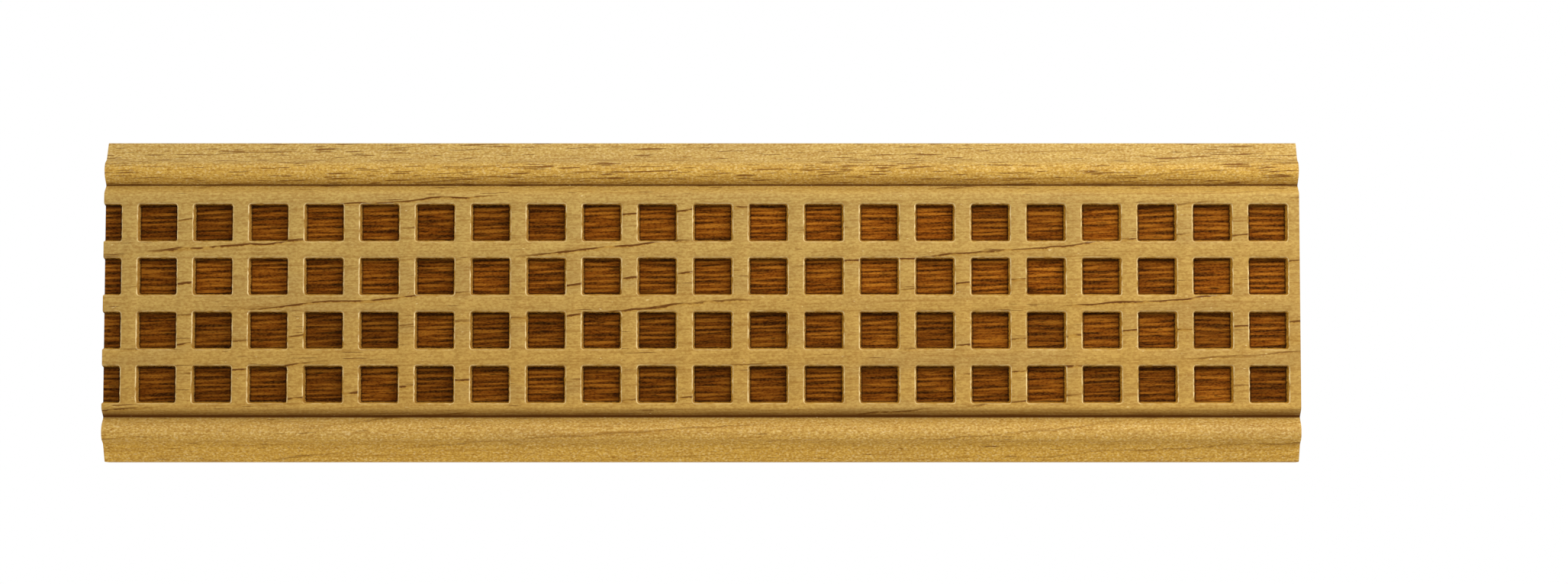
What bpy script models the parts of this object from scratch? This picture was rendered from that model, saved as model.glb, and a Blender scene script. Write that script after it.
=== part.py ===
"""Wooden wall moulding, 55 mm wide and 8 mm thick, with a field of square sockets pressed into its face.

The section stands in the YZ plane and runs along X. The flat back is the plane y = 0, the face looks
towards -Y and +Z is up, as on a wall. The origin is the middle of the back.
"""

import math

import bmesh
import bpy

MM = 0.001

# Length and thickness. The width is the sum of the field and its two borders.
LENGTH = 205.0 * MM
THICKNESS = 8.0 * MM

# The sockets, measured at the face
ROWS = 4
SOCKET_LENGTH = 6.85 * MM
SOCKET_HEIGHT = 6.53 * MM
SOCKET_DEPTH = 1.6 * MM
SOCKET_CORNER_RADIUS = 0.45 * MM
WALL_INSET = 0.3 * MM
COLUMN_RIB = 2.67 * MM
ROW_RIB = 2.72 * MM
END_MARGIN = 1.96 * MM
UPPER_MARGIN = 1.85 * MM
LOWER_MARGIN = 0.91 * MM

# One border, from its outer edge to the field. Each drop is measured down from the face.
SLOPE_WIDTH = 3.0 * MM
SLOPE_OUTER_DROP = 3.55 * MM
SLOPE_INNER_DROP = 1.92 * MM
COVE_WIDTH = 0.55 * MM
QUIRK_WIDTH = 0.08 * MM
QUIRK_DROP = 1.02 * MM
BEAD_WIDTH = 2.88 * MM
BEAD_RISE = 0.66 * MM
GROOVE_OUTER_WIDTH = 1.08 * MM
GROOVE_INNER_WIDTH = 1.39 * MM
GROOVE_DEPTH = 1.83 * MM

# Rounded corners of the section
BACK_ARRIS_RADIUS = 0.2 * MM
EDGE_ARRIS_RADIUS = 0.5 * MM
COVE_RADIUS = 1.3 * MM
FIELD_ARRIS_RADIUS = 0.75 * MM

# How finely the round stretches are drawn
BEAD_STEPS = 8
ARRIS_STEPS = 3
SOCKET_CORNER_STEPS = 2

# How far each cutting tooth reaches out past the face
TOOTH_REACH = 1.0 * MM

BARE_WOOD = (0.53, 0.32, 0.09, 1.0)
SCORCHED_WOOD = (0.17, 0.065, 0.008, 1.0)
BARE_ROUGHNESS = 0.5
SCORCHED_ROUGHNESS = 0.62

COLUMN_PITCH = SOCKET_LENGTH + COLUMN_RIB
ROW_PITCH = SOCKET_HEIGHT + ROW_RIB
BORDER_WIDTH = (
    SLOPE_WIDTH + COVE_WIDTH + QUIRK_WIDTH + BEAD_WIDTH + GROOVE_OUTER_WIDTH + GROOVE_INNER_WIDTH
)
PATTERN_WIDTH = ROWS * SOCKET_HEIGHT + (ROWS - 1) * ROW_RIB
FIELD_WIDTH = LOWER_MARGIN + PATTERN_WIDTH + UPPER_MARGIN
WIDTH = FIELD_WIDTH + 2 * BORDER_WIDTH


def clear_scene():
    """Remove every object, so that the script can be run again."""
    for item in list(bpy.data.objects):
        bpy.data.objects.remove(item, do_unlink=True)


def new_collection(name):
    """Make a collection in the scene."""
    collection = bpy.data.collections.new(name)
    bpy.context.scene.collection.children.link(collection)
    return collection


def new_material(name, colour, roughness):
    """Make a plain material with one Principled shader."""
    material = bpy.data.materials.new(name)
    material.use_nodes = True
    shader = material.node_tree.nodes["Principled BSDF"]
    shader.inputs["Base Color"].default_value = colour
    shader.inputs["Roughness"].default_value = roughness
    shader.inputs["Metallic"].default_value = 0.0
    material.diffuse_color = colour
    return material


def fillet(before, corner, after, radius):
    """Round a corner of an outline: the points of an arc that touches both of its sides."""
    to_before = math.atan2(before[1] - corner[1], before[0] - corner[0])
    to_after = math.atan2(after[1] - corner[1], after[0] - corner[0])
    opening = (to_after - to_before + math.pi) % math.tau - math.pi
    half = abs(opening) / 2
    middle = to_before + opening / 2
    side = min(math.dist(before, corner), math.dist(after, corner))
    radius = min(radius, 0.5 * side * math.tan(half))
    reach = radius / math.sin(half)
    centre = (corner[0] + reach * math.cos(middle), corner[1] + reach * math.sin(middle))
    sweep = (math.pi - 2 * half) * (1 if opening < 0 else -1)
    first = middle + math.pi - sweep / 2
    return [
        (
            centre[0] + radius * math.cos(first + sweep * step / ARRIS_STEPS),
            centre[1] + radius * math.sin(first + sweep * step / ARRIS_STEPS),
        )
        for step in range(ARRIS_STEPS + 1)
    ]


def bead(start, width, rise):
    """The round bead as points of an arc on a level chord, with its top on the plane of the face."""
    radius = ((width / 2) ** 2 + rise**2) / (2 * rise)
    half_angle = math.asin(width / 2 / radius)
    centre = (start[0] + width / 2, start[1] + rise - radius)
    angles = (half_angle * (2 * step / BEAD_STEPS - 1) for step in range(BEAD_STEPS + 1))
    return [(centre[0] + radius * math.sin(a), centre[1] + radius * math.cos(a)) for a in angles]


def border_outline():
    """One border as (distance in from the outer edge, height above the back), from back to field."""
    back = (0.0, 0.0)
    edge = (0.0, THICKNESS - SLOPE_OUTER_DROP)
    slope_foot = (SLOPE_WIDTH, THICKNESS - SLOPE_INNER_DROP)
    quirk_foot = (slope_foot[0] + COVE_WIDTH, THICKNESS - QUIRK_DROP)
    bead_foot = (quirk_foot[0] + QUIRK_WIDTH, THICKNESS - BEAD_RISE)
    groove = (bead_foot[0] + BEAD_WIDTH + GROOVE_OUTER_WIDTH, THICKNESS - GROOVE_DEPTH)
    field = (groove[0] + GROOVE_INNER_WIDTH, THICKNESS)
    back_middle = (WIDTH / 2, 0.0)
    field_middle = (WIDTH / 2, THICKNESS)
    return [
        *fillet(back_middle, back, edge, BACK_ARRIS_RADIUS),
        *fillet(back, edge, slope_foot, EDGE_ARRIS_RADIUS),
        *fillet(edge, slope_foot, quirk_foot, COVE_RADIUS),
        quirk_foot,
        *bead(bead_foot, BEAD_WIDTH, BEAD_RISE),
        groove,
        *fillet(groove, field, field_middle, FIELD_ARRIS_RADIUS),
    ]


def section_outline():
    """The whole section as (y, z) points: the lower border, then the upper one as its mirror."""
    lower = [(-height, inward - WIDTH / 2) for inward, height in border_outline()]
    upper = [(y, -z) for y, z in reversed(lower)]
    return lower + upper


def extrude_section(collection):
    """Run the section along X as a filled flat curve, and turn that into one closed mesh."""
    curve = bpy.data.curves.new("section", "CURVE")
    curve.dimensions = "2D"
    curve.fill_mode = "BOTH"
    curve.extrude = LENGTH / 2
    outline = section_outline()
    spline = curve.splines.new("POLY")
    spline.points.add(len(outline) - 1)
    for point, (y, z) in zip(spline.points, outline):
        point.co = (y, z, 0.0, 1.0)
    spline.use_cyclic_u = True
    guide = bpy.data.objects.new("section", curve)
    # The curve's own X, Y and Z become the moulding's Y, Z and X.
    guide.rotation_euler = (math.pi / 2, 0.0, math.pi / 2)
    collection.objects.link(guide)
    bpy.context.view_layer.update()

    graph = bpy.context.evaluated_depsgraph_get()
    mesh = bpy.data.meshes.new_from_object(guide.evaluated_get(graph))
    moulding = bpy.data.objects.new("moulding", mesh)
    moulding.matrix_world = guide.matrix_world.copy()
    collection.objects.link(moulding)
    bpy.data.objects.remove(guide, do_unlink=True)

    body = bmesh.new()
    body.from_mesh(mesh)
    bmesh.ops.remove_doubles(body, verts=body.verts, dist=0.001 * MM)
    bmesh.ops.recalc_face_normals(body, faces=body.faces)
    body.to_mesh(mesh)
    body.free()
    mesh.shade_smooth()
    mesh.set_sharp_from_angle(angle=math.radians(25))
    return moulding


def tooth_mesh():
    """One tooth of the pressing die: a block that narrows towards its tip, with rounded upright edges."""
    tooth = bmesh.new()
    bmesh.ops.create_cube(tooth, size=1.0)
    inset_per_depth = WALL_INSET / SOCKET_DEPTH
    for vertex in tooth.verts:
        depth = SOCKET_DEPTH if vertex.co.y > 0 else -TOOTH_REACH
        half_length = SOCKET_LENGTH / 2 - inset_per_depth * depth
        half_height = SOCKET_HEIGHT / 2 - inset_per_depth * depth
        vertex.co = (
            math.copysign(half_length, vertex.co.x),
            depth,
            math.copysign(half_height, vertex.co.z),
        )
    upright = [edge for edge in tooth.edges if edge.verts[0].co.y * edge.verts[1].co.y < 0]
    bmesh.ops.bevel(
        tooth,
        geom=upright,
        offset=SOCKET_CORNER_RADIUS,
        segments=SOCKET_CORNER_STEPS,
        profile=0.5,
        affect="EDGES",
        clamp_overlap=True,
    )
    bmesh.ops.recalc_face_normals(tooth, faces=tooth.faces)
    mesh = bpy.data.meshes.new("die_teeth")
    tooth.to_mesh(mesh)
    tooth.free()
    return mesh


def repeat(item, name, count, offset):
    """Repeat an object along a constant offset."""
    array = item.modifiers.new(name, "ARRAY")
    array.count = count
    array.use_relative_offset = False
    array.use_constant_offset = True
    array.constant_offset_displace = offset


def pressing_die(collection):
    """The teeth that press the field, from the end margin at +X until they run off the -X end."""
    die = bpy.data.objects.new("die_teeth", tooth_mesh())
    first_x = LENGTH / 2 - END_MARGIN - SOCKET_LENGTH / 2
    first_z = LOWER_MARGIN + SOCKET_HEIGHT / 2 - FIELD_WIDTH / 2
    die.location = (first_x, -THICKNESS, first_z)
    columns = math.ceil((LENGTH - END_MARGIN) / COLUMN_PITCH)
    repeat(die, "columns", columns, (-COLUMN_PITCH, 0.0, 0.0))
    repeat(die, "rows", ROWS, (0.0, 0.0, ROW_PITCH))
    die.hide_render = True
    die.display_type = "WIRE"
    collection.objects.link(die)
    return die


def main():
    """Build the moulding."""
    clear_scene()
    parts = new_collection("wooden_moulding")
    cutters = new_collection("cutters")

    moulding = extrude_section(parts)
    moulding.data.materials.append(new_material("bare_wood", BARE_WOOD, BARE_ROUGHNESS))
    die = pressing_die(cutters)
    die.data.materials.append(new_material("scorched_wood", SCORCHED_WOOD, SCORCHED_ROUGHNESS))

    press = moulding.modifiers.new("press_sockets", "BOOLEAN")
    press.operation = "DIFFERENCE"
    press.object = die
    press.solver = "EXACT"
    press.material_mode = "TRANSFER"


main()
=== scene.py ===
"""The finished surface, the wood and the studio of a pine wall moulding pressed with rows of sockets.

The flat back is the plane y = 0, the face looks towards -Y, X runs along the length and Z across the width.
The mesh is one slice of the moulding, one socket long, that Geometry Nodes repeat along the length and
wear. Each point carries its level in the sockets, its row of sockets and its browning and shade: how far
the die browned the ribs between the sockets, and the painted shade in the hollows of the borders. The nodes
and the materials read them.
"""

import logging
import math
from dataclasses import dataclass, field
from enum import Enum, IntEnum
from functools import partial
from typing import Any, NamedTuple

import bmesh
import bpy
import numpy as np
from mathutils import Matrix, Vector

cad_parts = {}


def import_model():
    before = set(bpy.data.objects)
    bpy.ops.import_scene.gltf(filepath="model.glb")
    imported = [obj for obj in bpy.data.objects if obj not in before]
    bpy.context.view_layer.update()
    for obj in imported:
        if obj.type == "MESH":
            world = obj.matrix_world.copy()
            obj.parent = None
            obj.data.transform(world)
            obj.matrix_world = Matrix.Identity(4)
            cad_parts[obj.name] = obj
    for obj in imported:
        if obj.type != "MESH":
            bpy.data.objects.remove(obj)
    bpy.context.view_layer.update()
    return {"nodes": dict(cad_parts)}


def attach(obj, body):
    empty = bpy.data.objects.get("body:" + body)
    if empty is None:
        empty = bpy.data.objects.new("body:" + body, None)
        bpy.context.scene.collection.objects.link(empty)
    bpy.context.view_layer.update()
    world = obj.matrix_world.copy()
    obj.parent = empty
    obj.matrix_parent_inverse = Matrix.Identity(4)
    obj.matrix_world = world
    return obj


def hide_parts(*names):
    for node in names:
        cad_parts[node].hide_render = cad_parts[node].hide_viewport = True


LOG = logging.getLogger("moulding")

MM = 0.001
NODE = "moulding"
BODY = "root"

# The values that the mesh stores for its points
LEVEL = "level"
BROWNING_AND_SHADE = "browning_and_shade"
ROW = "row"
COLUMN = "column"
TONE = "socket_tone"

Point = tuple[float, float]
Colour = tuple[float, float, float, float]
Socket = bpy.types.NodeSocket


class Cut(Enum):
    """How a surface of the wood was made, with the place of its material on the mesh."""

    PLANED = 0
    PRESSED = 1
    SAWN = 2


class Level(IntEnum):
    """How far down a socket a point lies: under its rim, at the foot of its wall, on its floor."""

    PLANED = 0
    RIM = 1
    FOOT = 2
    FLOOR_EDGE = 3
    FLOOR = 4


class Station(NamedTuple):
    """A point on a line across a socket: its place from the socket's middle, its depth and its level."""

    place: float
    depth: float
    level: float


class EdgePoint(NamedTuple):
    """A point of a border: its distance in from the outer edge, its height above the back and its painted
    shade.
    """

    inward: float
    height: float
    browning_and_shade: float


class SectionPoint(NamedTuple):
    """A point of the whole section, with all that the mesh stores for it."""

    y: float
    z: float
    depth: float
    level: float
    browning_and_shade: float
    row: int


class Ramp(NamedTuple):
    """How a pattern shows: where it begins to, where it shows in full, and how strongly it then does.

    Where it shows in full below where it begins, the low parts of the pattern show.
    """

    begins: float
    full: float
    strength: float = 1.0


def linear(code: str) -> Colour:
    """Turn an sRGB hex colour to the linear one that shaders take.

    Args:
        code: the colour as "#rrggbb".

    Returns:
        Its linear red, green and blue, and an alpha of 1.
    """
    shares = (int(code[place : place + 2], 16) / 255 for place in (1, 3, 5))
    red, green, blue = (s / 12.92 if s <= 0.04045 else ((s + 0.055) / 1.055) ** 2.4 for s in shares)
    return (red, green, blue, 1.0)


def add_node(
    tree: bpy.types.NodeTree,
    kind: str,
    inputs: dict[str | int, Any] | None = None,
    **settings: Any,
) -> bpy.types.Node:
    """Add a node to a tree.

    Args:
        tree: the tree to add to.
        kind: the node's type.
        inputs: its inputs by name or place. A pattern or a socket is linked, the rest are set.
        settings: the node's own properties.

    Returns:
        The new node.
    """
    node = tree.nodes.new(kind)
    for name, value in settings.items():
        setattr(node, name, value)
    for name, value in (inputs or {}).items():
        source = value.socket if isinstance(value, Pattern) else value
        if isinstance(source, Socket):
            tree.links.new(source, node.inputs[name])
        else:
            node.inputs[name].default_value = source
    return node


@dataclass(frozen=True)
class Pattern:
    """A number that varies over the moulding, as a node gives it. Arithmetic on it adds more nodes."""

    socket: Socket

    def step(self, operation: str, *numbers: "Number") -> "Pattern":
        """Take one step of arithmetic in this pattern's tree.

        Args:
            operation: what the step does.
            numbers: what it works on, in order.

        Returns:
            The outcome.
        """
        inputs = dict(enumerate(numbers))
        node = add_node(self.socket.id_data, "ShaderNodeMath", inputs, operation=operation)
        return Pattern(node.outputs[0])

    def __add__(self, other: "Number") -> "Pattern":
        """Add a number to it."""
        return self.step("ADD", self, other)

    def __sub__(self, other: "Number") -> "Pattern":
        """Take a number from it."""
        return self.step("SUBTRACT", self, other)

    def __mul__(self, other: "Number") -> "Pattern":
        """Multiply it by a number."""
        return self.step("MULTIPLY", self, other)

    def __rtruediv__(self, other: "Number") -> "Pattern":
        """Divide a number by it."""
        return self.step("DIVIDE", other, self)

    def __pow__(self, other: "Number") -> "Pattern":
        """Raise it to a power."""
        return self.step("POWER", self, other)

    def __abs__(self) -> "Pattern":
        """Leave off its sign."""
        return self.step("ABSOLUTE", self)

    def __lt__(self, other: "Number") -> "Pattern":
        """Give 1 where it is less than a number, and 0 elsewhere."""
        return self.step("LESS_THAN", self, other)

    def fraction(self) -> "Pattern":
        """Keep what it has past the last whole number."""
        return self.step("FRACT", self)

    def shown(self, ramp: Ramp, smooth: bool = True) -> "Pattern":
        """Turn it to a share that rises from 0 to a ramp's strength.

        Args:
            ramp: where the share rises, and how far.
            smooth: whether it rises smoothly or straight.

        Returns:
            The share.
        """
        node = add_node(
            self.socket.id_data,
            "ShaderNodeMapRange",
            {"Value": self, "From Min": ramp.begins, "From Max": ramp.full, "To Max": ramp.strength},
            interpolation_type="SMOOTHSTEP" if smooth else "LINEAR",
        )
        return Pattern(node.outputs[0])


Number = Pattern | Socket | float


class Coat(NamedTuple):
    """A colour laid over those before it, as a hex code or a socket, and how much of it shows."""

    colour: Socket | str
    share: Pattern


def part_way(start: Point, end: Point, share: float) -> Point:
    """Find the point a share of the way from one point to another."""
    return (start[0] + (end[0] - start[0]) * share, start[1] + (end[1] - start[1]) * share)


def fillet(before: Point, corner: Point, after: Point, radius: float, steps: int) -> list[Point]:
    """Round a corner of an outline.

    Args:
        before: the point before the corner.
        corner: the sharp corner.
        after: the point after the corner.
        radius: the arc's radius.
        steps: how many straight pieces stand for the arc.

    Returns:
        The points of an arc that touches both sides of the corner.
    """
    to_before = math.atan2(before[1] - corner[1], before[0] - corner[0])
    to_after = math.atan2(after[1] - corner[1], after[0] - corner[0])
    opening = (to_after - to_before + math.pi) % math.tau - math.pi
    half = abs(opening) / 2
    middle = to_before + opening / 2
    reach = radius / math.sin(half)
    centre = (corner[0] + reach * math.cos(middle), corner[1] + reach * math.sin(middle))
    sweep = (math.pi - 2 * half) * (1 if opening < 0 else -1)
    first = middle + math.pi - sweep / 2
    angles = (first + sweep * step / steps for step in range(steps + 1))
    return [(centre[0] + radius * math.cos(a), centre[1] + radius * math.sin(a)) for a in angles]


@dataclass(frozen=True)
class SquareSocket:
    """One socket as the hot die leaves it: drafted walls, a worn rim and a flat floor."""

    length: float = 6.85 * MM
    height: float = 6.53 * MM
    depth: float = 1.6 * MM
    corner_radius: float = 0.5 * MM
    wall_inset: float = 0.3 * MM
    rim_radius: float = 0.22 * MM
    foot_radius: float = 0.1 * MM
    rim_steps: int = 2
    floor_steps_along: int = 8
    floor_steps_across: int = 18
    rib_toast: float = 0.33

    def half_profile(self, opening: float, rib: float) -> list[Station]:
        """Go down one side of the socket, from the rib to the edge of the floor.

        Args:
            opening: the socket's width at the face on this line.
            rib: the width of the rib beside it.

        Returns:
            The stations, outermost first.
        """
        rib_middle = (opening / 2 + rib / 2, 0.0)
        rim = (opening / 2, 0.0)
        foot = (opening / 2 - self.wall_inset, self.depth)
        rim_arc = fillet(rib_middle, rim, foot, self.rim_radius, self.rim_steps)
        foot_arc = fillet(rim, foot, (0.0, self.depth), self.foot_radius, 1)
        floor_edge = opening / 2 - self.corner_radius - self.foot_radius
        return [
            *(Station(*point, Level.RIM * step / self.rim_steps) for step, point in enumerate(rim_arc)),
            Station(*part_way(rim_arc[-1], foot_arc[0], 0.5), (Level.RIM + Level.FOOT) / 2),
            Station(*foot_arc[0], Level.FOOT),
            Station(*foot_arc[1], Level.FLOOR_EDGE),
            Station(floor_edge, self.depth, Level.FLOOR),
        ]

    def stations(self, opening: float, rib: float, floor_steps: int) -> list[Station]:
        """Cross the whole socket on one line, from rim to rim.

        Args:
            opening: the socket's width at the face on this line.
            rib: the width of the ribs on both sides.
            floor_steps: how many equal steps cross the floor.

        Returns:
            The stations in rising order of place.
        """
        side = self.half_profile(opening, rib)
        edge = side[-1].place
        inner = (edge * (2 * step / floor_steps - 1) for step in range(1, floor_steps))
        floor = [Station(place, self.depth, Level.FLOOR) for place in inner]
        near_side = [Station(-place, depth, level) for place, depth, level in side]
        return [*near_side, *floor, *reversed(side)]


@dataclass(frozen=True)
class Border:
    """One planed edge of the section. Each drop is measured down from the face."""

    slope_width: float = 3.0 * MM
    slope_outer_drop: float = 3.55 * MM
    slope_inner_drop: float = 1.92 * MM
    cove_width: float = 0.55 * MM
    quirk_width: float = 0.08 * MM
    quirk_drop: float = 1.02 * MM
    bead_width: float = 2.88 * MM
    bead_rise: float = 0.66 * MM
    groove_outer_width: float = 1.08 * MM
    groove_inner_width: float = 1.39 * MM
    groove_depth: float = 1.83 * MM
    back_radius: float = 0.2 * MM
    edge_radius: float = 0.5 * MM
    cove_radius: float = 0.55 * MM
    groove_radius: float = 0.1 * MM
    shoulder_radius: float = 0.75 * MM
    bead_steps: int = 10
    arc_steps: int = 3
    # Painted shade in the hollows of the border: darkest in the groove, less on its walls, the bead's
    # flank, the shoulder and the quirk
    quirk_shade: float = 0.05
    flank_shade: float = 0.3
    groove_shade: float = 0.92
    groove_wall_shade: float = 0.52
    shoulder_shade: float = 0.24
    # Where the flank of the bead and the wall of the groove take their painted shade, as shares of the way
    # across
    flank_share: float = 3 / 4
    wall_share: float = 1 / 3

    @property
    def width(self) -> float:
        """The border's whole width, up to the corner of the field."""
        moulded = self.slope_width + self.cove_width + self.quirk_width + self.bead_width
        return moulded + self.groove_outer_width + self.groove_inner_width

    def bead(self, start: Point) -> list[Point]:
        """Draw the round bead as an arc on a level chord, with its top on the plane of the face.

        Args:
            start: the foot of the bead on its outer side.

        Returns:
            The points of the arc.
        """
        radius = ((self.bead_width / 2) ** 2 + self.bead_rise**2) / (2 * self.bead_rise)
        half_angle = math.asin(self.bead_width / 2 / radius)
        centre = (start[0] + self.bead_width / 2, start[1] + self.bead_rise - radius)
        turns = (half_angle * (2 * step / self.bead_steps - 1) for step in range(self.bead_steps + 1))
        return [(centre[0] + radius * math.sin(t), centre[1] + radius * math.cos(t)) for t in turns]

    def outline(self, thickness: float, middle: float) -> list[EdgePoint]:
        """Draw the border from the back, round the outer edge, to the flat of the field.

        Args:
            thickness: the moulding's thickness.
            middle: half the moulding's width.

        Returns:
            The points in order, with painted shade that is darkest in the groove and faint in the quirk.
        """
        back = (0.0, 0.0)
        edge = (0.0, thickness - self.slope_outer_drop)
        slope_foot = (self.slope_width, thickness - self.slope_inner_drop)
        quirk_foot = (slope_foot[0] + self.cove_width, thickness - self.quirk_drop)
        bead_foot = (quirk_foot[0] + self.quirk_width, thickness - self.bead_rise)
        bead = self.bead(bead_foot)
        groove = (bead[-1][0] + self.groove_outer_width, thickness - self.groove_depth)
        field_edge = (groove[0] + self.groove_inner_width, thickness)
        field_middle = (middle, thickness)
        groove_arc = fillet(bead[-1], groove, field_edge, self.groove_radius, self.arc_steps)
        shoulder = fillet(groove, field_edge, field_middle, self.shoulder_radius, self.arc_steps)
        flank = part_way(bead[-1], groove, self.flank_share)
        inner_wall = part_way(groove, shoulder[0], self.wall_share)
        plain = [
            *fillet((middle, 0.0), back, edge, self.back_radius, self.arc_steps),
            *fillet(back, edge, slope_foot, self.edge_radius, self.arc_steps),
            part_way(edge, slope_foot, 0.5),
            *fillet(edge, slope_foot, quirk_foot, self.cove_radius, self.arc_steps),
        ]
        return [
            *(EdgePoint(*point, 0.0) for point in plain),
            EdgePoint(*quirk_foot, self.quirk_shade),
            *(EdgePoint(*point, 0.0) for point in bead),
            EdgePoint(*flank, self.flank_shade),
            *(EdgePoint(*point, self.groove_shade) for point in groove_arc),
            EdgePoint(*inner_wall, self.groove_wall_shade),
            *(EdgePoint(*point, self.shoulder_shade) for point in shoulder),
        ]


@dataclass(frozen=True)
class Wear:
    """How far the real surface strays from the clean one, and over what distances."""

    rim_tear_along: float = 0.19 * MM
    rim_tear_across: float = 0.11 * MM
    tear_spacing: float = 0.7 * MM
    ridge_height: float = 0.1 * MM
    ridge_spacing: float = 0.85 * MM
    ridge_length: float = 14.0 * MM
    planer_wave: float = 0.04 * MM
    planer_spacing: float = 2.4 * MM
    seed: int = 7


class PressTree:
    """The node tree that repeats the slice along the length, then tears, ridges and ripples the result."""

    inputs = {
        "Slice": "NodeSocketGeometry",
        "Columns": "NodeSocketInt",
        "First Column": "NodeSocketFloat",
        "Column Pitch": "NodeSocketFloat",
        "Rows": "NodeSocketInt",
        "Weld": "NodeSocketFloat",
        "Rim Tear": "NodeSocketVector",
        "Tear Spacing": "NodeSocketFloat",
        "Ridge Height": "NodeSocketFloat",
        "Ridge Size": "NodeSocketVector",
        "Planer Wave": "NodeSocketFloat",
        "Planer Spacing": "NodeSocketFloat",
        "Planed Depth": "NodeSocketFloat",
        "Seed": "NodeSocketInt",
        "Planed": "NodeSocketMaterial",
        "Pressed": "NodeSocketMaterial",
    }
    # How far through the noise one step of the seed goes
    seed_stride = 1.7
    noise_middle = (0.5, 0.5, 0.5)
    # The levels over which the tears set in and fade, and the ridges set in
    tears_begin = Ramp(Level.PLANED, Level.RIM)
    tears_fade = Ramp(Level.FLOOR_EDGE, 1.5)
    ridges_begin = Ramp(2.5, Level.FLOOR_EDGE)

    def __init__(self) -> None:
        """Make the tree."""
        self.tree = bpy.data.node_groups.new("press_sockets", "GeometryNodeTree")
        made = {
            name: self.tree.interface.new_socket(name, in_out="INPUT", socket_type=kind)
            for name, kind in self.inputs.items()
        }
        self.identifiers = {name: socket.identifier for name, socket in made.items()}
        self.tree.interface.new_socket("Moulding", in_out="OUTPUT", socket_type="NodeSocketGeometry")
        self.add = partial(add_node, self.tree)
        self.given = self.add("NodeGroupInput").outputs
        self.place = self.add("GeometryNodeInputPosition").outputs[0]
        stored = (
            self.add("GeometryNodeInputNamedAttribute", {"Name": name}, data_type=kind)
            for name, kind in ((LEVEL, "FLOAT"), (COLUMN, "INT"), (ROW, "INT"))
        )
        self.level, self.column, self.row = (Pattern(node.outputs["Attribute"]) for node in stored)
        self.make_noises()
        geometry = self.number_sockets(self.repeat_slice())
        for offset in (self.torn_rims(), self.floor_ridges(), self.planer_waves()):
            moved = self.add("GeometryNodeSetPosition", {"Geometry": geometry, "Offset": offset})
            geometry = moved.outputs[0]
        self.finish(geometry)

    def make_noises(self) -> None:
        """Scatter the noises behind the tears, the ridges and the planer's waves, all by the one seed."""
        given = self.given
        phase = Pattern(given["Seed"]) * self.seed_stride
        inputs = {0: self.place, 1: given["Ridge Size"]}
        stretched = self.add("ShaderNodeVectorMath", inputs, operation="DIVIDE").outputs[0]
        self.tear_noise, self.ridge_noise, self.wave_noise = (
            self.add(
                "ShaderNodeTexNoise",
                {"Vector": place, "W": phase, "Scale": fineness, "Detail": detail},
                noise_dimensions="4D",
            ).outputs
            for place, fineness, detail in (
                (self.place, 1.0 / Pattern(given["Tear Spacing"]), 2.0),
                (stretched, 1.0, 1.0),
                (self.place, 1.0 / Pattern(given["Planer Spacing"]), 1.0),
            )
        )

    def repeat_slice(self) -> Socket:
        """Set slices side by side from the first column towards -X, and weld them into one sleeve.

        Returns:
            The sleeve.
        """
        given = self.given
        towards_left = Pattern(given["Column Pitch"]) * -1.0
        start, offset = (
            self.add("ShaderNodeCombineXYZ", {"X": distance}).outputs[0]
            for distance in (given["First Column"], towards_left)
        )
        inputs = {"Count": given["Columns"], "Start Location": start, "Offset": offset}
        line = self.add("GeometryNodeMeshLine", inputs, mode="OFFSET").outputs[0]
        index = self.add("GeometryNodeInputIndex").outputs[0]
        inputs = {"Geometry": line, "Name": COLUMN, "Value": index}
        numbered = self.add("GeometryNodeStoreNamedAttribute", inputs, data_type="INT", domain="POINT")
        inputs = {"Points": numbered.outputs[0], "Instance": given["Slice"]}
        placed = self.add("GeometryNodeInstanceOnPoints", inputs).outputs[0]
        real = self.add("GeometryNodeRealizeInstances", {"Geometry": placed}).outputs[0]
        inputs = {"Geometry": real, "Distance": given["Weld"]}
        return self.add("GeometryNodeMergeByDistance", inputs).outputs[0]

    def number_sockets(self, geometry: Socket) -> Socket:
        """Give each socket a chance value of its own, for how hard the die scorched it.

        Args:
            geometry: the welded sleeve.

        Returns:
            The sleeve with the value stored.
        """
        inputs = {"ID": self.column * self.given["Rows"] + self.row, "Seed": self.given["Seed"]}
        chance = self.add("FunctionNodeRandomValue", inputs, data_type="FLOAT")
        inputs = {"Geometry": geometry, "Name": TONE, "Value": chance.outputs[1]}
        stored = self.add("GeometryNodeStoreNamedAttribute", inputs, data_type="FLOAT", domain="POINT")
        return stored.outputs[0]

    def torn_rims(self) -> Socket:
        """Fray each socket's rim and walls sideways, most where they cross the fibres.

        Returns:
            How far each point moves.
        """
        share = self.level.shown(self.tears_begin, smooth=False)
        share = share * self.level.shown(self.tears_fade, smooth=False)
        offset = self.tear_noise["Color"]
        for operation, inputs in (
            ("SUBTRACT", {1: self.noise_middle}),
            ("MULTIPLY", {1: self.given["Rim Tear"]}),
            ("SCALE", {"Scale": share}),
        ):
            node = self.add("ShaderNodeVectorMath", {0: offset, **inputs}, operation=operation)
            offset = node.outputs[0]
        return offset

    def floor_ridges(self) -> Socket:
        """Leave the harder grain of the floors standing in ridges along X.

        Returns:
            How far each point moves.
        """
        height = Pattern(self.ridge_noise[0]) * self.given["Ridge Height"]
        on_floor = self.level.shown(self.ridges_begin, smooth=False)
        return self.add("ShaderNodeCombineXYZ", {"Y": height * on_floor * -1.0}).outputs[0]

    def planer_waves(self) -> Socket:
        """Leave the planed face a little uneven, always inwards, and the back flat.

        Returns:
            How far each point moves.
        """
        depth = Pattern(self.wave_noise[0]) * self.given["Planer Wave"]
        y = Pattern(self.add("ShaderNodeSeparateXYZ", {0: self.place}).outputs["Y"])
        on_face = y < self.given["Planed Depth"]
        return self.add("ShaderNodeCombineXYZ", {"Y": depth * on_face}).outputs[0]

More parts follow.
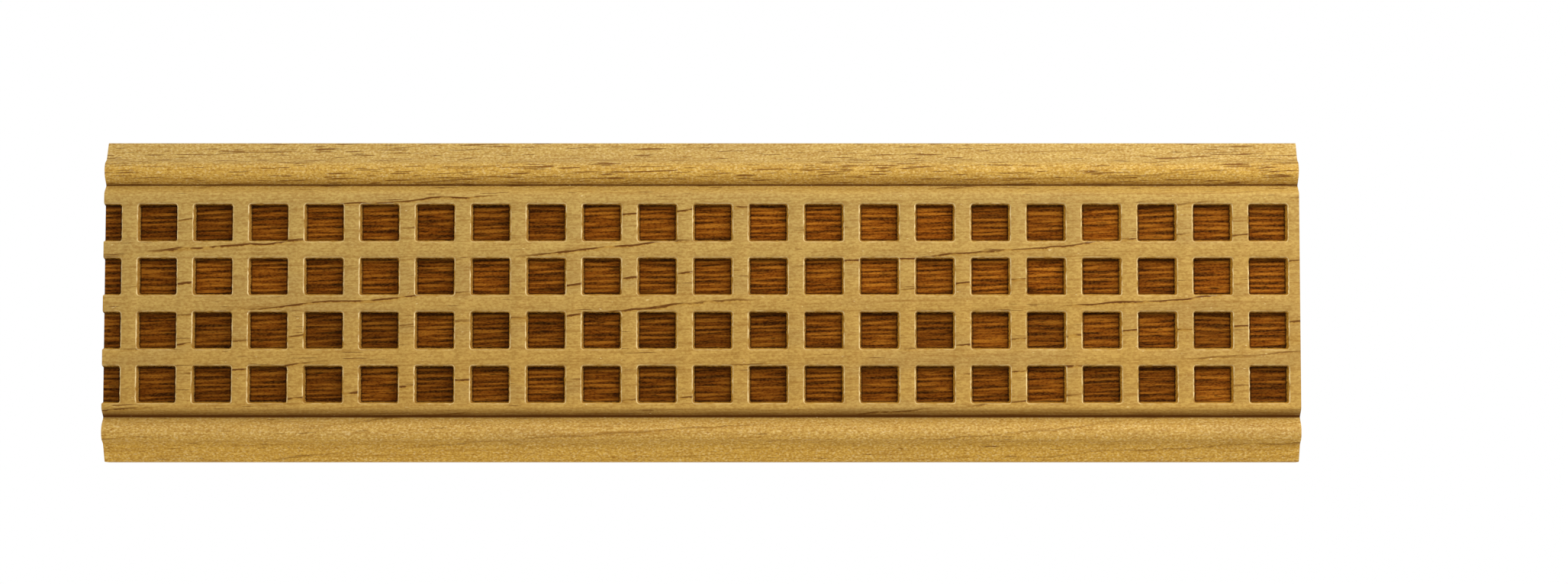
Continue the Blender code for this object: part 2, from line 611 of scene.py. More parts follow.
    def finish(self, geometry: Socket) -> None:
        """Make the geometry real and give each face its wood.

        Args:
            geometry: the worn sleeve.
        """
        geometry = self.add("GeometryNodeRealizeInstances", {"Geometry": geometry}).outputs[0]
        inputs = {"A": self.level, "B": float(Level.RIM)}
        below_rim = self.add("FunctionNodeCompare", inputs, operation="GREATER_THAN").outputs[0]
        for wood, selection in (("Planed", True), ("Pressed", below_rim)):
            inputs = {"Geometry": geometry, "Selection": selection, "Material": self.given[wood]}
            geometry = self.add("GeometryNodeSetMaterial", inputs).outputs[0]
        self.add("NodeGroupOutput", {"Moulding": geometry})

    def run(self, slice_mesh: bpy.types.Mesh, values: dict[str, Any]) -> bpy.types.Mesh:
        """Run the tree on a slice.

        Args:
            slice_mesh: the slice to repeat.
            values: what the tree's inputs are set to, by name.

        Returns:
            The result as a plain mesh.
        """
        carrier = bpy.data.objects.new("slice", slice_mesh)
        bpy.context.scene.collection.objects.link(carrier)
        modifier = carrier.modifiers.new("press_sockets", "NODES")
        modifier.node_group = self.tree
        for name, value in values.items():
            modifier[self.identifiers[name]] = value
        graph = bpy.context.evaluated_depsgraph_get()
        mesh = bpy.data.meshes.new_from_object(carrier.evaluated_get(graph))
        bpy.data.objects.remove(carrier, do_unlink=True)
        return mesh


@dataclass(frozen=True)
class Fleck:
    """A kind of mark in the wood: its size along and across the fibres, its seed and how it shows.

    The detail is how many finer layers its noise has. The noise is about 0.5 and rises in the marks.
    """

    length: float
    thickness: float
    seed: float
    detail: float = 2.0
    shows: Ramp = Ramp(0.4, 0.6)


class Grain:
    """The figure of one pine board, as patterns in a material on Object coordinates.

    The fibres rise a little towards +X. The growth rings are shells round a pith that lies well below the
    moulding and rises faster, so the face shows long thin lines on a slant and the ends show arcs. The
    rings wander over long stretches and ripple over short ones, by the shares of a ring given here.
    """

    fibre_slant = math.radians(1.4)
    ring_slant = math.radians(4.4)
    pith_behind = 6.0 * MM
    pith_below = 90.0 * MM
    ring_spacing = 5.2 * MM
    ring_wander = 0.7
    wander = Fleck(60.0 * MM, 18.0 * MM, seed=2.0)
    ring_ripple = 0.34
    ripple = Fleck(9.0 * MM, 5.0 * MM, seed=8.0)

    def __init__(self, name: str, roughness: float, specular: float) -> None:
        """Make the material that the figure goes in, and read what the patterns need of the mesh.

        Args:
            name: the material's name.
            roughness: the shader's roughness.
            specular: the shader's specular level.
        """
        self.material = bpy.data.materials.new(name)
        self.material.use_nodes = True
        self.tree = self.material.node_tree
        self.shader = self.tree.nodes["Principled BSDF"]
        self.shader.inputs["Roughness"].default_value = roughness
        self.shader.inputs["Specular IOR Level"].default_value = specular
        self.add = partial(add_node, self.tree)
        coordinates = self.add("ShaderNodeTexCoord").outputs
        self.place = coordinates["Object"]
        self.position, self.facing = (
            [Pattern(axis) for axis in self.add("ShaderNodeSeparateXYZ", {0: vector}).outputs]
            for vector in (self.place, coordinates["Normal"])
        )
        stored = (
            self.add("ShaderNodeAttribute", attribute_type="GEOMETRY", attribute_name=name)
            for name in (LEVEL, BROWNING_AND_SHADE, TONE)
        )
        self.level, self.browning_and_shade, self.tone = (Pattern(node.outputs["Fac"]) for node in stored)
        self.noises: dict[Fleck, Pattern] = {}

    def measured(self, slant: float, length: float, thickness: float) -> Socket:
        """Measure places in units of a mark's size, along a direction that rises towards +X.

        Args:
            slant: how steeply the direction rises.
            length: the unit along it.
            thickness: the unit across it.

        Returns:
            The coordinates.
        """
        inputs = {
            "Vector": self.place,
            "Rotation": (0.0, -slant, 0.0),
            "Scale": (length, thickness, thickness),
        }
        return self.add("ShaderNodeMapping", inputs, vector_type="TEXTURE").outputs[0]

    def scattered(self, fleck: Fleck) -> Pattern:
        """Scatter marks of one size: a value about 0.5 that rises in the marks, made once for each fleck.

        Args:
            fleck: the marks' size, seed and detail.

        Returns:
            The value.
        """
        if fleck not in self.noises:
            place = self.measured(self.fibre_slant, fleck.length, fleck.thickness)
            inputs = {"Vector": place, "W": fleck.seed, "Scale": 1.0, "Detail": fleck.detail}
            noise = self.add("ShaderNodeTexNoise", inputs, noise_dimensions="4D")
            self.noises[fleck] = Pattern(noise.outputs[0])
        return self.noises[fleck]

    def marks(self, fleck: Fleck) -> Pattern:
        """Scatter marks and show them as the fleck says."""
        return self.scattered(fleck).shown(fleck.shows)

    def waves(self, fleck: Fleck, waver: float) -> Pattern:
        """Draw even lines along the fibres, their spacing the fleck's thickness.

        Args:
            fleck: the lines' spacing, how far they run before they change, and the finer layers.
            waver: how many radians the lines stray.

        Returns:
            A value from 0 between the lines to 1 on them.
        """
        # The wave texture runs through 20 radians for each unit of its coordinates.
        unit = 20 / math.tau
        node = self.add(
            "ShaderNodeTexWave",
            {
                "Vector": self.measured(self.fibre_slant, fleck.length, fleck.thickness * unit),
                "Scale": 1.0,
                "Distortion": waver,
                "Detail": fleck.detail,
                "Detail Scale": 1.0,
                "Phase Offset": fleck.seed,
            },
            wave_type="BANDS",
            bands_direction="Z",
            wave_profile="SIN",
        )
        return Pattern(node.outputs["Fac"])

    def from_pith(self) -> Pattern:
        """Measure the distance from the pith, counted in growth rings.

        Returns:
            The distance.
        """
        vector = self.measured(self.ring_slant, 1.0, 1.0)
        pith = (0.0, self.pith_behind, -self.pith_below)
        for operation, other in (("SUBTRACT", pith), ("MULTIPLY", (0.0, 1.0, 1.0))):
            inputs = {0: vector, 1: other}
            vector = self.add("ShaderNodeVectorMath", inputs, operation=operation).outputs[0]
        radius = self.add("ShaderNodeVectorMath", {0: vector}, operation="LENGTH")
        rings = Pattern(radius.outputs["Value"]) * (1 / self.ring_spacing)
        rings = rings + self.scattered(self.wander) * self.ring_wander
        return rings + self.scattered(self.ripple) * self.ring_ripple

    def lay(self, first: Socket | str, coats: list[Coat]) -> Socket:
        """Lay coats of colour over a first one.

        Args:
            first: the colour below them all, a hex code or a socket.
            coats: the coats, lowest first.

        Returns:
            The colour with every coat on.
        """
        colour = linear(first) if isinstance(first, str) else first
        for coat in coats:
            above = linear(coat.colour) if isinstance(coat.colour, str) else coat.colour
            inputs = {0: coat.share, 6: colour, 7: above}
            node = self.add("ShaderNodeMix", inputs, data_type="RGBA", blend_type="MIX", clamp_factor=True)
            colour = node.outputs[2]
        return colour

    def finish(self, colour: Socket, height: Pattern, relief: float) -> bpy.types.Material:
        """Join the figure to the shader.

        Args:
            colour: the wood's colour.
            height: the fine relief, from 0 to about 1.
            relief: how deep that relief is.

        Returns:
            The finished material.
        """
        self.tree.links.new(colour, self.shader.inputs["Base Color"])
        bump = self.add("ShaderNodeBump", {"Strength": 1.0, "Distance": relief, "Height": height})
        self.tree.links.new(bump.outputs["Normal"], self.shader.inputs["Normal"])
        return self.material


@dataclass(frozen=True)
class PlanedPine:
    """Planed pine: pale gold with a fine speckle, thin slanting ring lines and short dark resin ducts.

    The die browned it between the sockets. The grooves and the faces that look down are darker by painted
    shade, and the socket rims are pale, partly torn fibres and partly painted highlight.
    """

    roughness: float = 0.55
    specular: float = 0.1
    relief: float = 0.06 * MM

    sapwood: str = "#bb9c55"
    gold: str = "#bb964a"
    grey: str = "#a88b50"
    brown: str = "#82530c"
    rust: str = "#a4761e"
    ring_line: str = "#5c3403"
    duct: str = "#683a08"
    amber: str = "#cd9a1e"
    burnt_and_shaded: str = "#553008"
    # Pale torn fibres, and on the socket rims partly a painted highlight
    rim: str = "#ead29a"

    # The real fibres are about 0.04 mm thick. Speckle, grit and pores are drawn coarser, so that they show.
    speckle: Fleck = Fleck(0.55 * MM, 0.3 * MM, seed=11.0, detail=3.0, shows=Ramp(0.3, 0.7, 0.5))
    cloud: Fleck = Fleck(26.0 * MM, 5.0 * MM, seed=5.0, shows=Ramp(0.45, 0.68, 0.45))
    fibre: Fleck = Fleck(9.0 * MM, 0.36 * MM, seed=4.0, detail=3.0, shows=Ramp(0.48, 0.72, 0.34))
    trail: Fleck = Fleck(34.0 * MM, 0.7 * MM, seed=14.0, shows=Ramp(0.6, 0.72, 0.34))
    scuff: Fleck = Fleck(1.1 * MM, 0.3 * MM, seed=16.0, detail=1.0, shows=Ramp(0.74, 0.8, 0.5))
    # Torn fibres on the borders: dark hollows, pale tips and open pores
    grit: Fleck = Fleck(0.42 * MM, 0.28 * MM, seed=18.0, shows=Ramp(0.5, 0.72, 0.5))
    grit_tips: Ramp = Ramp(0.5, 0.3, 0.32)
    pore: Fleck = Fleck(0.9 * MM, 0.28 * MM, seed=17.0, detail=1.0, shows=Ramp(0.66, 0.74, 0.7))

    # The growth rings. The late wood ends each ring in a line that the speckle and the dashes fray.
    sapwood_rings: Ramp = Ramp(15.5, 21.5)
    streak: Fleck = Fleck(26.0 * MM, 5.0 * MM, seed=3.0, detail=1.0, shows=Ramp(0.46, 0.58))
    dash: Fleck = Fleck(2.4 * MM, 0.9 * MM, seed=6.0, detail=1.0, shows=Ramp(0.3, 0.5))
    dash_fray: float = 0.06
    speckle_fray: float = 0.07
    late_wood: Ramp = Ramp(1.0, 1.02)
    halo: Ramp = Ramp(0.93, 1.01, 0.45)
    lines_lost_on_borders: float = 0.6
    lines_on_back: float = 0.5

    # Resin ducts, commoner in some stretches and on the upper border
    resin: Fleck = Fleck(6.0 * MM, 0.26 * MM, seed=9.0, detail=1.0, shows=Ramp(0.74, 0.8, 0.85))
    resin_zone: Fleck = Fleck(50.0 * MM, 8.0 * MM, seed=10.0, detail=0.0, shows=Ramp(0.4, 0.6, 0.05))
    border_resin: float = 0.105

    # How the parts of the section are told apart, by their places and by how far up or down they face
    field_to: float = 18.0 * MM
    bead_from: float = 21.0 * MM
    bead_to: float = 22.5 * MM
    slope_from: float = 24.5 * MM
    front: Ramp = Ramp(-1.5 * MM, -4.0 * MM)
    off_edges: Ramp = Ramp(0.97, 0.85)
    gilt: float = 0.4
    slope_bloom: float = 0.05

    # Browning between the sockets and painted shade in the grooves, with more painted shade on what faces
    # down, and the pale rims of the sockets, partly torn fibres and partly painted highlight, palest at
    # their two ends
    downward_shade: float = 0.9
    browning_and_shade_power: float = 1.5
    least_browning_and_shade: float = 0.45
    chip: Fleck = Fleck(1.6 * MM, 1.6 * MM, seed=12.0, detail=1.0, shows=Ramp(0.3, 0.62, 0.9))
    rim_band: Ramp = Ramp(Level.PLANED, 0.7)
    rim_ends: Ramp = Ramp(0.5, 0.15, 0.65)
    rim_sides: float = 0.35

    def ring_coats(self, grain: Grain, rings: Pattern, clear: Pattern) -> list[Coat]:
        """Draw the late wood of each ring as a thin broken line with a rusty edge.

        Args:
            grain: the figure to draw in.
            rings: the distance from the pith in rings.
            clear: how clearly the lines show on each part of the section.

        Returns:
            The rusty edge and the line.
        """
        rise = grain.scattered(self.dash) * self.dash_fray + rings.fraction()
        rise = grain.scattered(self.speckle) * self.speckle_fray + rise
        shown = grain.marks(self.streak) * clear
        line = rise.shown(self.late_wood) * shown * grain.marks(self.dash)
        return [Coat(self.rust, rise.shown(self.halo) * shown), Coat(self.ring_line, line)]

    def build(self) -> bpy.types.Material:
        """Make the material.

        Returns:
            The finished material.
        """
        grain = Grain("planed_pine", self.roughness, self.specular)
        _, y, z = grain.position
        facing_up = grain.facing[2]
        front = y.shown(self.front)
        upper_border, upper_slope, lower_border, lower_slope = (
            front * z.shown(Ramp(side * near, side * far))
            for side in (1, -1)
            for near, far in ((self.field_to, self.bead_from), (self.bead_to, self.slope_from))
        )
        border = upper_border + lower_border
        golden = upper_border - upper_slope + lower_slope

        rings = grain.from_pith()
        clear = abs(facing_up).shown(self.off_edges) * (border * -self.lines_lost_on_borders + 1.0)
        clear = clear * (front * (1.0 - self.lines_on_back) + self.lines_on_back)
        resinous = upper_border * self.border_resin + grain.marks(self.resin_zone)
        ducts = (grain.scattered(self.resin) + resinous).shown(self.resin.shows)
        browning_and_shade = (grain.browning_and_shade * (facing_up * -self.downward_shade + 1.0)) ** self.browning_and_shade_power
        uneven = grain.scattered(self.fibre) + self.least_browning_and_shade
        rim_fibres_and_highlight = grain.marks(self.chip) * (abs(facing_up).shown(self.rim_ends) + self.rim_sides)
        coats = [
            Coat(self.sapwood, rings.shown(self.sapwood_rings)),
            Coat(self.grey, grain.marks(self.cloud)),
            Coat(self.amber, golden * self.gilt),
            Coat(self.brown, grain.marks(self.speckle)),
            Coat(self.grey, upper_slope * self.slope_bloom),
            Coat(self.rim, grain.scattered(self.grit).shown(self.grit_tips) * border),
            Coat(self.brown, grain.marks(self.grit) * border),
            Coat(self.brown, grain.marks(self.pore) * border),
            Coat(self.brown, grain.marks(self.fibre)),
            Coat(self.brown, grain.marks(self.trail)),
            *self.ring_coats(grain, rings, clear),
            Coat(self.duct, ducts),
            # Painted shade in the grooves and on faces that look down, with the die's browning between the
            # sockets
            Coat(self.burnt_and_shaded, browning_and_shade * uneven),
            Coat(self.rim, grain.marks(self.scuff)),
            # Painted highlight in part: the socket rims are paler, partly pale torn fibres and partly a
            # highlight on their rounded arris
            Coat(self.rim, grain.level.shown(self.rim_band) * rim_fibres_and_highlight),
        ]
        return grain.finish(grain.lay(self.gold, coats), grain.scattered(self.speckle) - ducts, self.relief)


@dataclass(frozen=True)
class PressedPine:
    """Hot-pressed pine: golden walls, and floors scorched brown with the grain in close wavy lines."""

    roughness: float = 0.6
    specular: float = 0.02
    relief: float = 0.1 * MM

    wall: str = "#cc9836"
    # Painted light and shade: walls that face +X, towards the lamp, take this khaki colour, the rest the
    # amber wall colour
    lit_wall_paint: str = "#a47c3c"
    wall_shade: str = "#94661c"
    floor: str = "#7a3d06"
    bright_grain_and_highlight: str = "#aa6a1c"
    dark: str = "#341401"
    char: str = "#170a00"

    # The grain of the floors: wavy lines that threads break up, drawn coarser than the real fibres. They
    # are charred grain, and partly painted highlight on the crests of the relief and painted shade in its
    # hollows.
    line: Fleck = Fleck(30.0 * MM, 0.9 * MM, seed=1.3, detail=3.0)
    line_share: float = 0.18
    waver: float = 6.0
    thread: Fleck = Fleck(7.0 * MM, 0.42 * MM, seed=21.0, detail=3.0, shows=Ramp(0.35, 0.65, 0.8))
    brown_grain: Ramp = Ramp(0.4, 0.64)
    bright_grain: Ramp = Ramp(0.58, 0.78, 0.9)
    crack: Fleck = Fleck(3.2 * MM, 0.2 * MM, seed=23.0, shows=Ramp(0.6, 0.7, 0.85))
    fine: Fleck = Fleck(0.5 * MM, 0.22 * MM, seed=25.0, detail=3.0, shows=Ramp(0.45, 0.7, 0.5))
    fine_tips: Ramp = Ramp(0.62, 0.3, 0.3)
    soot: Fleck = Fleck(6.0 * MM, 0.7 * MM, seed=28.0, shows=Ramp(0.58, 0.72, 0.5))

    # The die ran unevenly from socket to socket, and hotter on the two lower rows. The floors are darker
    # towards -X by painted shade, where the light falls off.
    uneven_heat: Ramp = Ramp(0.0, 1.0, 0.24)
    left_falloff_shade: Ramp = Ramp(50.0 * MM, -50.0 * MM, 0.17)
    hot_rows: Ramp = Ramp(4.0 * MM, -4.0 * MM, 0.16)

    # The edges of the scorched parts are ragged. The upper walls, which face down, are darkened further up
    # by painted shade.
    raggedness: float = 2.0
    floor_edge_shade: Ramp = Ramp(Level.FLOOR, 3.2, 0.6)
    lit_wall_turn: Ramp = Ramp(-0.3, 0.3)
    upper_wall_shade: float = 0.7
    scorched: Ramp = Ramp(1.7, 2.4)

    def build(self) -> bpy.types.Material:
        """Make the material.

        Returns:
            The finished material.
        """
        grain = Grain("hot_pressed_pine", self.roughness, self.specular)
        x, _, z = grain.position
        facing_right, _, facing_up = grain.facing
        fine = grain.scattered(self.fine)
        ridge = grain.waves(self.line, self.waver) * self.line_share + grain.scattered(self.thread)
        ragged = (fine - 0.5) * self.raggedness + grain.level
        floor_coats = [
            # Charred grain, and in part painted light and shade: the floor is lighter where its relief
            # rises
            Coat(self.floor, ridge.shown(self.brown_grain)),
            Coat(self.bright_grain_and_highlight, ridge.shown(self.bright_grain)),
            Coat(self.bright_grain_and_highlight, fine.shown(self.fine_tips)),
            Coat(self.dark, fine.shown(self.fine.shows)),
            Coat(self.char, grain.marks(self.crack)),
            Coat(self.char, grain.marks(self.soot)),
            Coat(self.char, grain.tone.shown(self.uneven_heat)),
            # Painted shade: the floors darken towards -X, where the light falls off
            Coat(self.char, x.shown(self.left_falloff_shade)),
            Coat(self.char, z.shown(self.hot_rows)),
            # Painted shade: the floor darkens at its edge, where it meets the walls
            Coat(self.char, ragged.shown(self.floor_edge_shade)),
        ]
        # Scorch, with painted shade that climbs higher on the walls that face down
        burn_and_shade = facing_up * -self.upper_wall_shade + ragged
        wall_coats = [
            # Painted light: the walls that face +X, towards the lamp, are khaki
            Coat(self.lit_wall_paint, facing_right.shown(self.lit_wall_turn)),
            Coat(self.wall_shade, grain.marks(self.thread)),
            Coat(grain.lay(self.dark, floor_coats), burn_and_shade.shown(self.scorched)),
        ]
        return grain.finish(grain.lay(self.wall, wall_coats), ridge, self.relief)


@dataclass(frozen=True)
class SawnPine:
    """Sawn end grain: matt, pitted, darker than the face, with the growth rings as arcs."""

    roughness: float = 0.75
    specular: float = 0.1
    relief: float = 0.06 * MM

    early: str = "#a9854c"
    late: str = "#7a4d1c"
    pore: str = "#54320f"

    late_wood: Ramp = Ramp(0.6, 0.97, 0.7)
    narrow_rings: float = 3.0
    narrow_wood: Ramp = Ramp(0.3, 0.9, 0.35)
    pit: Fleck = Fleck(0.3 * MM, 0.3 * MM, seed=31.0, detail=3.0, shows=Ramp(0.5, 0.75, 0.6))
    kerf: Fleck = Fleck(20.0 * MM, 0.9 * MM, seed=33.0, shows=Ramp(0.4, 0.7, 0.25))

    def build(self) -> bpy.types.Material:
        """Make the material.

        Returns:
            The finished material.
        """
        grain = Grain("sawn_pine", self.roughness, self.specular)
        rings = grain.from_pith()
        narrow = rings * self.narrow_rings
        coats = [
            Coat(self.late, rings.fraction().shown(self.late_wood)),
            Coat(self.late, narrow.fraction().shown(self.narrow_wood)),
            Coat(self.pore, grain.marks(self.pit)),
            Coat(self.late, grain.marks(self.kerf)),
        ]
        return grain.finish(grain.lay(self.early, coats), grain.scattered(self.pit), self.relief)


@dataclass
class Moulding:
    """The whole length of moulding, one piece of pine."""

    length: float = 205.0 * MM
    thickness: float = 8.0 * MM
    rows: int = 4
    column_rib: float = 2.67 * MM
    row_rib: float = 2.72 * MM
    end_margin: float = 1.96 * MM
    upper_margin: float = 1.85 * MM
    lower_margin: float = 0.91 * MM
    back_steps: int = 8
    weld: float = 0.001 * MM
    sharp_angle: float = math.radians(40)
    socket: SquareSocket = field(default_factory=SquareSocket)
    border: Border = field(default_factory=Border)
    wear: Wear = field(default_factory=Wear)

    @property
    def column_pitch(self) -> float:
        """From one column of sockets to the next."""
        return self.socket.length + self.column_rib

    @property
    def row_pitch(self) -> float:
        """From one row of sockets to the next."""
        return self.socket.height + self.row_rib

    @property
    def field_width(self) -> float:
        """The flat field between the two borders."""
        sockets = self.rows * self.socket.height + (self.rows - 1) * self.row_rib
        return self.lower_margin + sockets + self.upper_margin

    @property
    def width(self) -> float:
        """The moulding's whole width."""
        return self.field_width + 2 * self.border.width

    @property
    def first_column(self) -> float:
        """The middle of the last whole column of sockets at the +X end."""
        return self.length / 2 - self.end_margin - self.socket.length / 2

    @property
    def first_row(self) -> float:
        """The middle of the lowest row of sockets."""
        return self.lower_margin + self.socket.height / 2 - self.field_width / 2

    def section(self) -> list[SectionPoint]:
        """Go once round the section, from the lower back corner over the face and along the back.

        Returns:
            Its points.
        """
        middle = self.width / 2
        socket = self.socket
        border = self.border.outline(self.thickness, middle)
        lower = [SectionPoint(-p.height, p.inward - middle, 0.0, 0.0, p.browning_and_shade, 0) for p in border]
        across = socket.stations(socket.height, self.row_rib, socket.floor_steps_across)
        row_middles = [self.first_row + row * self.row_pitch for row in range(self.rows)]
        face = [
            SectionPoint(-self.thickness, row_middle + place, depth, level, socket.rib_toast, row)
            for row, row_middle in enumerate(row_middles)
            for place, depth, level in across
        ]
        upper = [point._replace(z=-point.z, row=self.rows - 1) for point in reversed(lower)]
        edge = upper[-1].z
        back_places = (edge * (1 - 2 * step / self.back_steps) for step in range(1, self.back_steps))
        back = [SectionPoint(0.0, z, 0.0, 0.0, 0.0, 0) for z in back_places]
        return [*lower, *face, *upper, *back]

    def round_corners(self, x: np.ndarray, z: np.ndarray, row: np.ndarray) -> None:
        """Draw the corners of each socket in, from a square to an arc, in place.

        Args:
            x: each point's place along the slice.
            z: each point's place across it.
            row: each point's row of sockets.
        """
        socket = self.socket
        from_row = z - (self.first_row + row * self.row_pitch)
        along = np.abs(x) - (socket.length / 2 - socket.corner_radius)
        across = np.abs(from_row) - (socket.height / 2 - socket.corner_radius)
        furthest = np.maximum(along, across)
        inside = (along > 0) & (across > 0) & (furthest <= socket.corner_radius + socket.rim_radius)
        shrink = np.where(inside, furthest / np.maximum(np.hypot(along, across), self.weld), 1.0)
        x += np.sign(x) * along * (shrink - 1) * inside
        z += np.sign(from_row) * across * (shrink - 1) * inside

    def slice_mesh(self) -> bpy.types.Mesh:
        """Model one slice, a socket and a rib long, as an open sleeve all round the section.

        Returns:
            Its mesh.
        """
        socket = self.socket
        rib_middle = self.column_pitch / 2
        along = [
            Station(-rib_middle, 0.0, Level.PLANED),
            *socket.stations(socket.length, self.column_rib, socket.floor_steps_along),
            Station(rib_middle, 0.0, Level.PLANED),
        ]
        place, depth, level = (np.array(values)[:, None] for values in zip(*along))
        y, z, section_depth, section_level, browning_and_shade, row = (
            np.array(values)[None] for values in zip(*self.section())
        )
        x, z, row, browning_and_shade = (np.array(grid) for grid in np.broadcast_arrays(place, z, row, browning_and_shade))
        # A point lies as deep as both its lines allow, so the ribs stay level with the face.
        y = y + np.minimum(depth, section_depth)
        level = np.minimum(level, section_level)
        self.round_corners(x, z, row)

        lines, points = x.shape
        faces = [
            (i * points + j, (i + 1) * points + j, (i + 1) * points + after, i * points + after)
            for i in range(lines - 1)
            for j, after in enumerate([*range(1, points), 0])
        ]
        mesh = bpy.data.meshes.new("slice")
        mesh.from_pydata(np.stack((x, y, z), axis=-1).reshape(-1, 3).tolist(), [], faces)
        for name, kind, values in ((LEVEL, "FLOAT", level), (BROWNING_AND_SHADE, "FLOAT", browning_and_shade), (ROW, "INT", row)):
            mesh.attributes.new(name, kind, "POINT").data.foreach_set("value", values.ravel())
        return mesh

    def press(self, materials: dict[Cut, bpy.types.Material]) -> bpy.types.Mesh:
        """Press and wear the whole face.

        Args:
            materials: the wood by how its surface was made.

        Returns:
            A sleeve a little longer than the moulding, open at both ends.
        """
        past_end = self.first_column + self.column_pitch
        wear = self.wear
        slice_mesh = self.slice_mesh()
        for cut in Cut:
            slice_mesh.materials.append(materials[cut])
        values = {
            # Enough columns for the last one's outer rib to reach past the -X end
            "Columns": math.ceil((past_end + self.length / 2) / self.column_pitch + 0.5),
            "First Column": past_end,
            "Column Pitch": self.column_pitch,
            "Rows": self.rows,
            "Weld": self.weld,
            # The noise strays by a half to each side, so twice the tear gives its whole reach.
            "Rim Tear": (2 * wear.rim_tear_along, 0.0, 2 * wear.rim_tear_across),
            "Tear Spacing": wear.tear_spacing,
            "Ridge Height": wear.ridge_height,
            "Ridge Size": (wear.ridge_length, wear.ridge_spacing, wear.ridge_spacing),
            "Planer Wave": wear.planer_wave,
            "Planer Spacing": wear.planer_spacing,
            "Planed Depth": -self.thickness / 2,
            "Seed": wear.seed,
            "Planed": materials[Cut.PLANED],
            "Pressed": materials[Cut.PRESSED],
        }
        return PressTree().run(slice_mesh, values)

    def saw_ends(self, mesh: bpy.types.Mesh) -> None:
        """Cut the sleeve square at both ends and close it with flat end grain.

        Args:
            mesh: the pressed sleeve, changed in place.
        """
        body = bmesh.new()
        body.from_mesh(mesh)
        for side in (-1, 1):
            cut = bmesh.ops.bisect_plane(
                body,
                geom=[*body.verts, *body.edges, *body.faces],
                dist=self.weld / 10,
                plane_co=(side * self.length / 2, 0.0, 0.0),
                plane_no=(side, 0.0, 0.0),
                clear_outer=True,
            )
            rim = [item for item in cut["geom_cut"] if isinstance(item, bmesh.types.BMEdge)]
            closed = bmesh.ops.contextual_create(body, geom=rim)["faces"]
            for face in closed:
                face.material_index = Cut.SAWN.value
            bmesh.ops.triangulate(body, faces=closed, ngon_method="EAR_CLIP")
        bmesh.ops.recalc_face_normals(body, faces=body.faces)
        body.to_mesh(mesh)
        body.free()

    def build(self) -> bpy.types.Object:
        """Model, finish and place the moulding.

        Returns:
            The finished piece.
        """
        materials = {
            Cut.PLANED: PlanedPine().build(),
            Cut.PRESSED: PressedPine().build(),
            Cut.SAWN: SawnPine().build(),
        }
        mesh = self.press(materials)
        self.saw_ends(mesh)
        mesh.shade_smooth()
        mesh.set_sharp_from_angle(angle=self.sharp_angle)
        piece = bpy.data.objects.new("pressed_moulding", mesh)
        bpy.context.scene.collection.objects.link(piece)
        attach(piece, BODY)
        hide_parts(NODE)
        return piece


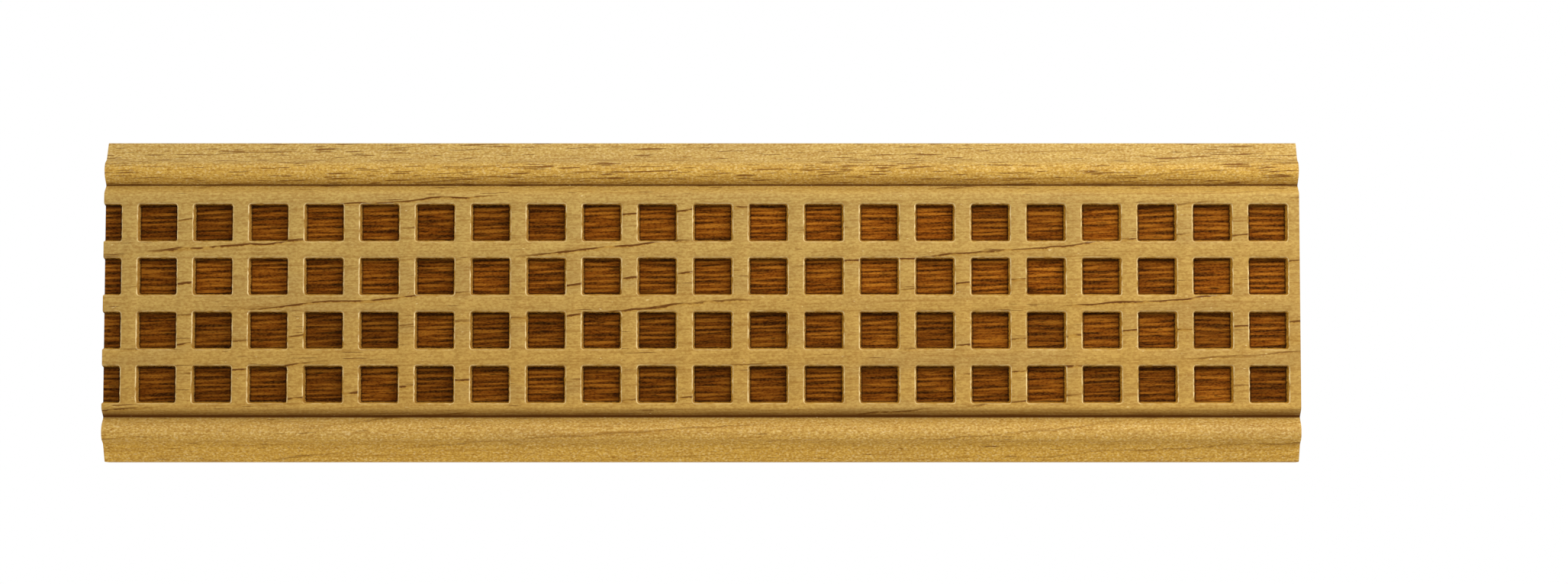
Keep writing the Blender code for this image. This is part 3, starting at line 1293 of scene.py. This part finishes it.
@dataclass
class Studio:
    """A white room with a pale floor well below the moulding, one soft light and the camera."""

    floor_drop: float = 0.5
    floor_radius: float = 3.0
    floor_segments: int = 96
    floor_colour: str = "#fbfbfb"
    floor_roughness: float = 0.9
    surround: float = 1.0
    key_place: tuple[float, float, float] = (0.22, -0.25, 0.18)
    key_length: float = 0.2
    key_width: float = 0.12
    key_power: float = 0.95
    lens: float = 80.0
    sensor: float = 36.0
    tilt: float = math.radians(4.0)
    # The photograph's size and the outer edges of the moulding in it, in its pixels
    picture_width: int = 2055
    picture_height: int = 765
    left_end: float = 136.0
    right_end: float = 1704.0
    top_edge: float = 187.0
    bottom_edge: float = 605.5

    def lay_floor(self) -> bpy.types.Object:
        """Lay the round pale floor.

        Returns:
            The floor.
        """
        body = bmesh.new()
        bmesh.ops.create_circle(body, cap_ends=True, segments=self.floor_segments, radius=self.floor_radius)
        bmesh.ops.translate(body, verts=body.verts, vec=(0.0, 0.0, -self.floor_drop))
        mesh = bpy.data.meshes.new("floor")
        body.to_mesh(mesh)
        body.free()
        # Matt white paint: pale and even, with no gloss
        material = bpy.data.materials.new("matt_white_paint")
        material.use_nodes = True
        shader = material.node_tree.nodes["Principled BSDF"]
        shader.inputs["Base Color"].default_value = linear(self.floor_colour)
        shader.inputs["Roughness"].default_value = self.floor_roughness
        mesh.materials.append(material)
        floor = bpy.data.objects.new("floor", mesh)
        bpy.context.scene.collection.objects.link(floor)
        return floor

    def light(self) -> None:
        """Light the room evenly, with one long soft light close above and a little to the right."""
        world = bpy.data.worlds.new("white_room")
        world.use_nodes = True
        background = world.node_tree.nodes["Background"]
        background.inputs["Color"].default_value = (1.0, 1.0, 1.0, 1.0)
        background.inputs["Strength"].default_value = self.surround
        bpy.context.scene.world = world
        lamp = bpy.data.lights.new("key", "AREA")
        lamp.shape = "RECTANGLE"
        lamp.size = self.key_length
        lamp.size_y = self.key_width
        lamp.energy = self.key_power
        key = bpy.data.objects.new("key", lamp)
        key.location = self.key_place
        key.rotation_euler = (-Vector(self.key_place)).to_track_quat("-Z", "Y").to_euler()
        bpy.context.scene.collection.objects.link(key)

    def set_camera(self, moulding: Moulding) -> None:
        """Put the camera where the outer edges lie in the picture as they do in the photograph.

        Args:
            moulding: the moulding to look at.
        """
        pixels = (self.bottom_edge - self.top_edge) / moulding.width
        distance = self.picture_width * self.lens / self.sensor / pixels
        right_of_middle = (self.picture_width - self.left_end - self.right_end) / 2 / pixels
        above_middle = (self.top_edge + self.bottom_edge - self.picture_height) / 2 / pixels
        # The tilt brings the lower edge nearer, which would lower the outline in the picture by this much.
        lowered = (moulding.width / 2) ** 2 * math.sin(self.tilt) / distance
        edge_plane = moulding.border.slope_outer_drop - moulding.thickness
        aim = Vector((right_of_middle, edge_plane, above_middle - lowered))
        data = bpy.data.cameras.new("camera")
        data.lens = self.lens
        data.sensor_width = self.sensor
        camera = bpy.data.objects.new("camera", data)
        camera.location = aim - Vector((0.0, math.cos(self.tilt), math.sin(self.tilt))) * distance
        camera.rotation_euler = (math.pi / 2 + self.tilt, 0.0, 0.0)
        bpy.context.scene.collection.objects.link(camera)
        bpy.context.scene.camera = camera

    def build(self, moulding: Moulding) -> None:
        """Set up floor, light and camera.

        Args:
            moulding: the moulding to look at.
        """
        self.lay_floor()
        self.light()
        self.set_camera(moulding)
        bpy.context.scene.view_settings.view_transform = "Standard"


def main() -> None:
    """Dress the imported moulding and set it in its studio."""
    logging.basicConfig(level=logging.INFO, format="%(name)s: %(message)s")
    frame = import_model()
    moulding = Moulding()
    piece = moulding.build()
    LOG.info("%s: %d faces on %s", piece.name, len(piece.data.polygons), sorted(frame["nodes"]))
    Studio().build(moulding)


if __name__ == "__main__":
    main()
